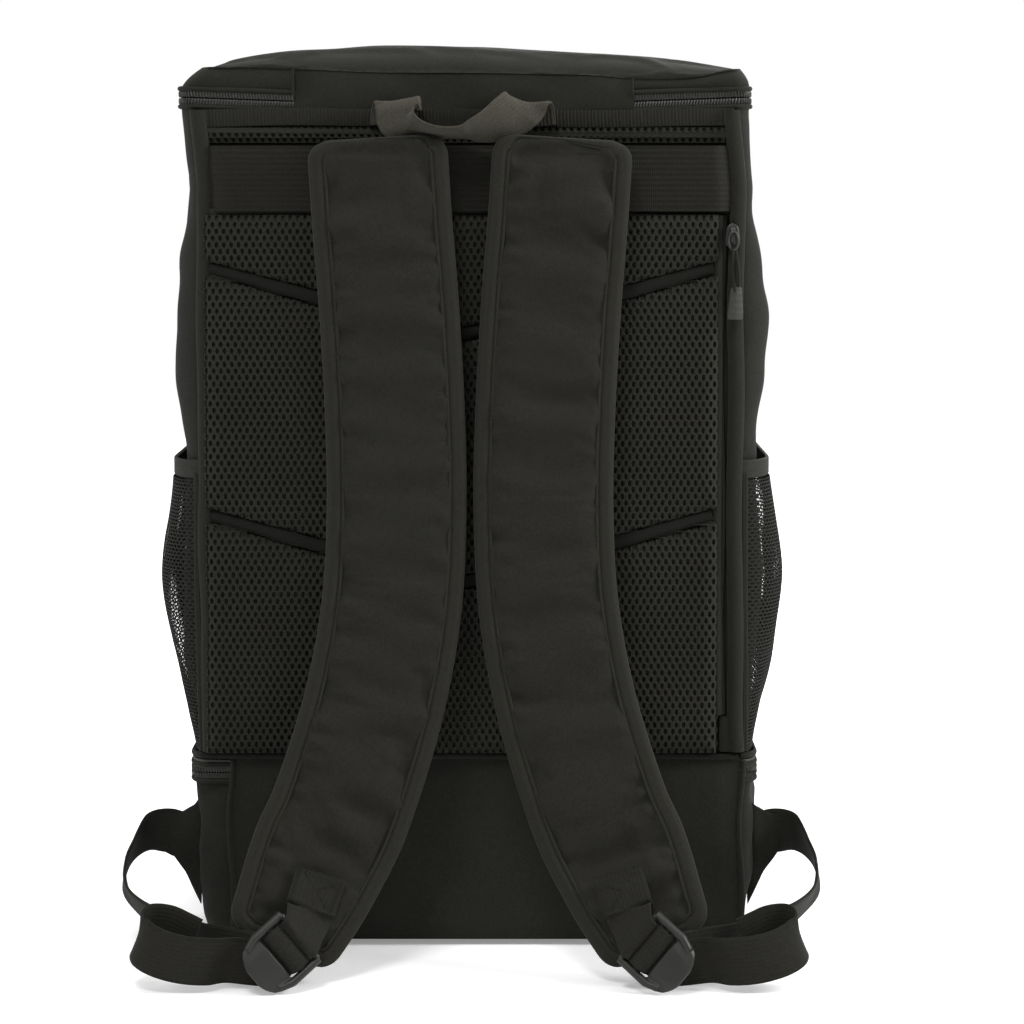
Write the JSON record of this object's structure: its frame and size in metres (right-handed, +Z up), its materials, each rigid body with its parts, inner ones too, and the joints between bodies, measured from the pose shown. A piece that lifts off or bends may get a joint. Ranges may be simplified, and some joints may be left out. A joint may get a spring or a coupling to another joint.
{
  "type": "racket backpack",
  "caption": "Upright backpack for rackets with a zipped lid, padded shoulder straps, net side pockets and a shoe compartment in its base.",
  "frame": {"origin": "centre of the underside of the base, on the surface it stands on", "axes": "+Z up, -Y towards the wearer's side with the straps, +X to the right when looking at that side"},
  "size_m": [0.3888, 0.3253, 0.496],
  "materials": {
    "body_fabric": "fine polyester weave, matt",
    "lining_fabric": "thin lining cloth",
    "spacer_mesh": "spacer mesh with oval holes",
    "pocket_net": "open hexagonal net",
    "binding_elastic": "ribbed elastic binding",
    "seam_tape": "ribbed grosgrain tape",
    "zip_tape": "zip tape with nylon coil",
    "webbing": "ribbed polyester webbing",
    "handle_webbing": "ribbed webbing, a little paler",
    "strap_fabric": "fine polyester weave over foam",
    "buckle_plastic": "moulded acetal",
    "slider_metal": "dark lacquered zinc",
    "pull_rubber": "braided cord and soft rubber",
    "stiffener_plastic": "polyethylene sheet"
  },
  "bodies": {
    "bag": {"front_panel": "body_fabric", "left_side_panel": "body_fabric", "right_side_panel": "body_fabric", "back_panel": "body_fabric", "base_back": "body_fabric", "base_left": "body_fabric", "base_right": "body_fabric", "base_bottom": "body_fabric", "front_pocket": "body_fabric", "back_zip_garage": "body_fabric", "left_wing": "body_fabric", "right_wing": "body_fabric", "main_floor": "lining_fabric", "racket_divider": "lining_fabric", "back_pocket_lining": "lining_fabric", "back_pad_upper": "spacer_mesh", "back_pad_middle": "spacer_mesh", "back_pad_lower": "spacer_mesh", "top_mesh_strip": "spacer_mesh", "left_mesh_pocket": "pocket_net", "right_mesh_pocket": "pocket_net", "left_pocket_elastic": "binding_elastic", "right_pocket_elastic": "binding_elastic", "seam_tape": "seam_tape", "lid_zip_lower": "zip_tape", "back_zip": "zip_tape", "shoe_zip": "zip_tape", "front_pocket_zip": "zip_tape", "luggage_band": "webbing", "left_webbing": "webbing", "right_webbing": "webbing", "frame_sheet": "stiffener_plastic"},
    "lid": {"lid_top": "body_fabric", "lid_gusset": "body_fabric", "lid_hinge_panel": "body_fabric", "lid_zip_upper": "zip_tape"},
    "shoe_door": {"shoe_door": "body_fabric"},
    "grab_handle": {"grab_handle": "handle_webbing"},
    "left_strap": {"left_strap_pad": "strap_fabric", "left_strap_loop": "webbing", "left_webbing_end": "webbing"},
    "right_strap": {"right_strap_pad": "strap_fabric", "right_strap_loop": "webbing", "right_webbing_end": "webbing"},
    "left_ladder_lock": {"left_ladder_lock": "buckle_plastic"},
    "right_ladder_lock": {"right_ladder_lock": "buckle_plastic"},
    "left_lid_slider": {"left_lid_slider": "slider_metal"},
    "right_lid_slider": {"right_lid_slider": "slider_metal"},
    "left_shoe_slider": {"left_shoe_slider": "slider_metal"},
    "right_shoe_slider": {"right_shoe_slider": "slider_metal"},
    "back_slider": {"back_slider": "slider_metal"},
    "front_pocket_slider": {"front_pocket_slider": "slider_metal"},
    "left_lid_pull": {"left_lid_pull": "pull_rubber"},
    "right_lid_pull": {"right_lid_pull": "pull_rubber"},
    "left_shoe_pull": {"left_shoe_pull": "pull_rubber"},
    "right_shoe_pull": {"right_shoe_pull": "pull_rubber"},
    "back_pull": {"back_pull": "pull_rubber"},
    "front_pocket_pull": {"front_pocket_pull": "pull_rubber"}
  },
  "joints": [
    {"name": "lid_hinge", "type": "hinge", "parent": "bag", "child": "lid", "pos_m": [0, -0.092, 0.468], "axis": [1, 0, 0], "range_deg": [0, 90]},
    {"name": "shoe_door_hinge", "type": "hinge", "parent": "bag", "child": "shoe_door", "pos_m": [0, 0.1005, 0.004], "axis": [-1, 0, 0], "range_deg": [0, 88]},
    {"name": "grab_handle_swing", "type": "hinge", "parent": "bag", "child": "grab_handle", "pos_m": [0, -0.095, 0.455], "axis": [-1, 0, 0], "range_deg": [0, 8]},
    {"name": "left_strap_swing", "type": "hinge", "parent": "bag", "child": "left_strap", "pos_m": [0, -0.104, 0.446], "axis": [-1, 0, 0], "range_deg": [0, 15]},
    {"name": "left_ladder_lock_tilt", "type": "hinge", "parent": "left_strap", "child": "left_ladder_lock", "pos_m": [-0.0875, -0.1799, 0.0295], "axis": [-0.638, 0, 0.77], "range_deg": [0, 40]},
    {"name": "left_lid_slider_slide", "type": "slide", "parent": "bag", "child": "left_lid_slider", "axis": [-1, 0, 0], "range_m": [0, 0.108]},
    {"name": "left_lid_pull_swing", "type": "hinge", "parent": "left_lid_slider", "child": "left_lid_pull", "pos_m": [-0.009, 0.1082, 0.4685], "axis": [1, 0, 0], "range_deg": [0, 150]},
    {"name": "left_shoe_slider_slide", "type": "slide", "parent": "bag", "child": "left_shoe_slider", "axis": [-1, 0, 0], "range_m": [0, 0.108]},
    {"name": "left_shoe_pull_swing", "type": "hinge", "parent": "left_shoe_slider", "child": "left_shoe_pull", "pos_m": [-0.009, 0.1075, 0.0975], "axis": [1, 0, 0], "range_deg": [0, 150]},
    {"name": "right_strap_swing", "type": "hinge", "parent": "bag", "child": "right_strap", "pos_m": [0, -0.104, 0.446], "axis": [-1, 0, 0], "range_deg": [0, 15]},
    {"name": "right_ladder_lock_tilt", "type": "hinge", "parent": "right_strap", "child": "right_ladder_lock", "pos_m": [0.0875, -0.1799, 0.0295], "axis": [-0.638, 0, -0.77], "range_deg": [0, 40]},
    {"name": "right_lid_slider_slide", "type": "slide", "parent": "bag", "child": "right_lid_slider", "axis": [1, 0, 0], "range_m": [0, 0.108]},
    {"name": "right_lid_pull_swing", "type": "hinge", "parent": "right_lid_slider", "child": "right_lid_pull", "pos_m": [0.009, 0.1082, 0.4685], "axis": [1, 0, 0], "range_deg": [0, 150]},
    {"name": "right_shoe_slider_slide", "type": "slide", "parent": "bag", "child": "right_shoe_slider", "axis": [1, 0, 0], "range_m": [0, 0.108]},
    {"name": "right_shoe_pull_swing", "type": "hinge", "parent": "right_shoe_slider", "child": "right_shoe_pull", "pos_m": [0.009, 0.1075, 0.0975], "axis": [1, 0, 0], "range_deg": [0, 150]},
    {"name": "back_slider_slide", "type": "slide", "parent": "bag", "child": "back_slider", "axis": [0, 0, -1], "range_m": [0, 0.255]},
    {"name": "back_pull_swing", "type": "hinge", "parent": "back_slider", "child": "back_pull", "pos_m": [0.1423, -0.1017, 0.3955], "axis": [-1, 0, 0], "range_deg": [0, 150]},
    {"name": "front_pocket_slider_slide", "type": "slide", "parent": "bag", "child": "front_pocket_slider", "axis": [1, 0, 0], "range_m": [0, 0.176]},
    {"name": "front_pocket_pull_swing", "type": "hinge", "parent": "front_pocket_slider", "child": "front_pocket_pull", "pos_m": [-0.088, 0.1307, 0.3225], "axis": [1, 0, 0], "range_deg": [0, 150]}
  ]
}
